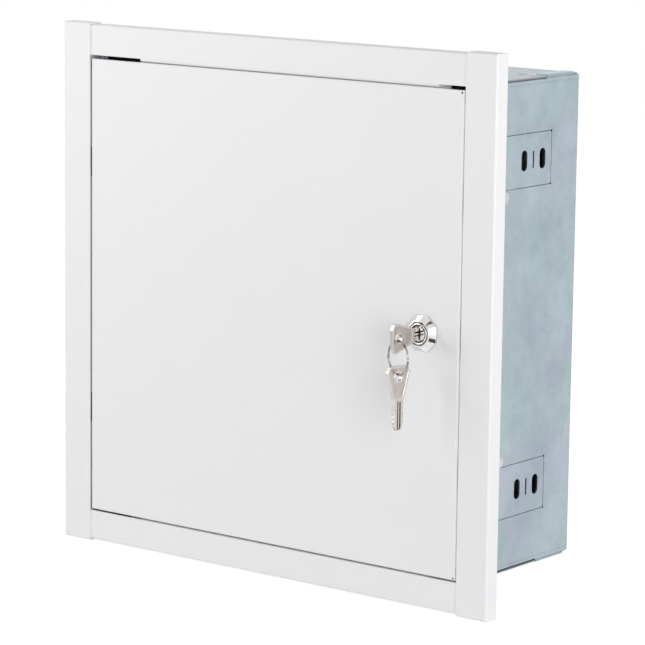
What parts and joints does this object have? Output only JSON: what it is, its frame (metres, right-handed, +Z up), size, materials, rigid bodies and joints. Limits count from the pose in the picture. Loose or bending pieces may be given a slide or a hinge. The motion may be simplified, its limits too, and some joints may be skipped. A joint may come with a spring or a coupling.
{
  "type": "recessed wall enclosure",
  "caption": "Recessed steel wall enclosure: galvanised box with anchor tabs, coated front frame, flush hinged door with cam lock, key, key ring and spare key.",
  "frame": {"origin": "middle of the rear face of the galvanised box, on its outer surface", "axes": "+X to the right seen from the room, +Y into the wall, +Z up; the door faces -Y"},
  "size_m": [0.35, 0.1541, 0.35],
  "materials": {
    "galvanised_steel": "hot-dip zinc, smooth with faint spangle",
    "white_coating": "semi-gloss white powder coat",
    "zinc_plated": "bright zinc plate",
    "chrome_plate": "polished chrome",
    "nickel_plate": "worn nickel plate"
  },
  "bodies": {
    "cabinet": {"body_shell": "galvanised_steel", "top_wall": "galvanised_steel", "bottom_wall": "galvanised_steel", "top_rivets": "zinc_plated", "bottom_rivets": "zinc_plated", "plate_studs": "zinc_plated", "plate_spacers": "zinc_plated", "mounting_plate": "galvanised_steel", "plate_washers": "zinc_plated", "plate_nuts": "zinc_plated", "earth_stud": "zinc_plated", "earth_washer": "zinc_plated", "earth_nut": "zinc_plated", "stile_left": "white_coating", "stile_right": "white_coating", "rail_top": "white_coating", "rail_bottom": "white_coating", "frame_arms_left": "zinc_plated", "frame_arms_right": "zinc_plated", "frame_screws": "zinc_plated", "clinch_nuts": "zinc_plated", "door_stops": "white_coating", "strike_plate": "zinc_plated", "hinge_lug_top": "zinc_plated", "hinge_lug_bottom": "zinc_plated"},
    "door": {"door_panel": "white_coating", "hinge_leaf_top": "zinc_plated", "hinge_leaf_bottom": "zinc_plated", "hinge_pin_top": "zinc_plated", "hinge_pin_bottom": "zinc_plated", "hinge_spacers": "zinc_plated", "lock_housing": "chrome_plate", "lock_nut": "zinc_plated"},
    "lock": {"lock_plug": "chrome_plate", "lock_cam": "zinc_plated", "cam_washer": "zinc_plated", "cam_screw": "zinc_plated"},
    "key": {"key_in_lock": "nickel_plate"},
    "ring": {"key_ring": "chrome_plate"},
    "spare": {"spare_key": "nickel_plate"}
  },
  "joints": [
    {"name": "door_swing", "type": "hinge", "parent": "cabinet", "child": "door", "pos_m": [-0.14275, -0.1145, 0], "axis": [0, 0, -1], "range_deg": [0, 105]},
    {"name": "lock_turn", "type": "hinge", "parent": "door", "child": "lock", "pos_m": [0.123, -0.1248, 0], "axis": [0, -1, 0], "range_deg": [0, 90]},
    {"name": "key_withdraw", "type": "slide", "parent": "lock", "child": "key", "axis": [0, -1, 0], "range_m": [0, 0.0145]},
    {"name": "ring_swing", "type": "hinge", "parent": "key", "child": "ring", "pos_m": [0.123, -0.1448, -0.00155], "axis": [0.9455, -0.3256, 0], "range_deg": [-60, 12]},
    {"name": "spare_key_swing", "type": "hinge", "parent": "ring", "child": "spare", "pos_m": [0.123, -0.1448, -0.02255], "axis": [0.9455, -0.3256, 0], "range_deg": [-40, 12]}
  ]
}
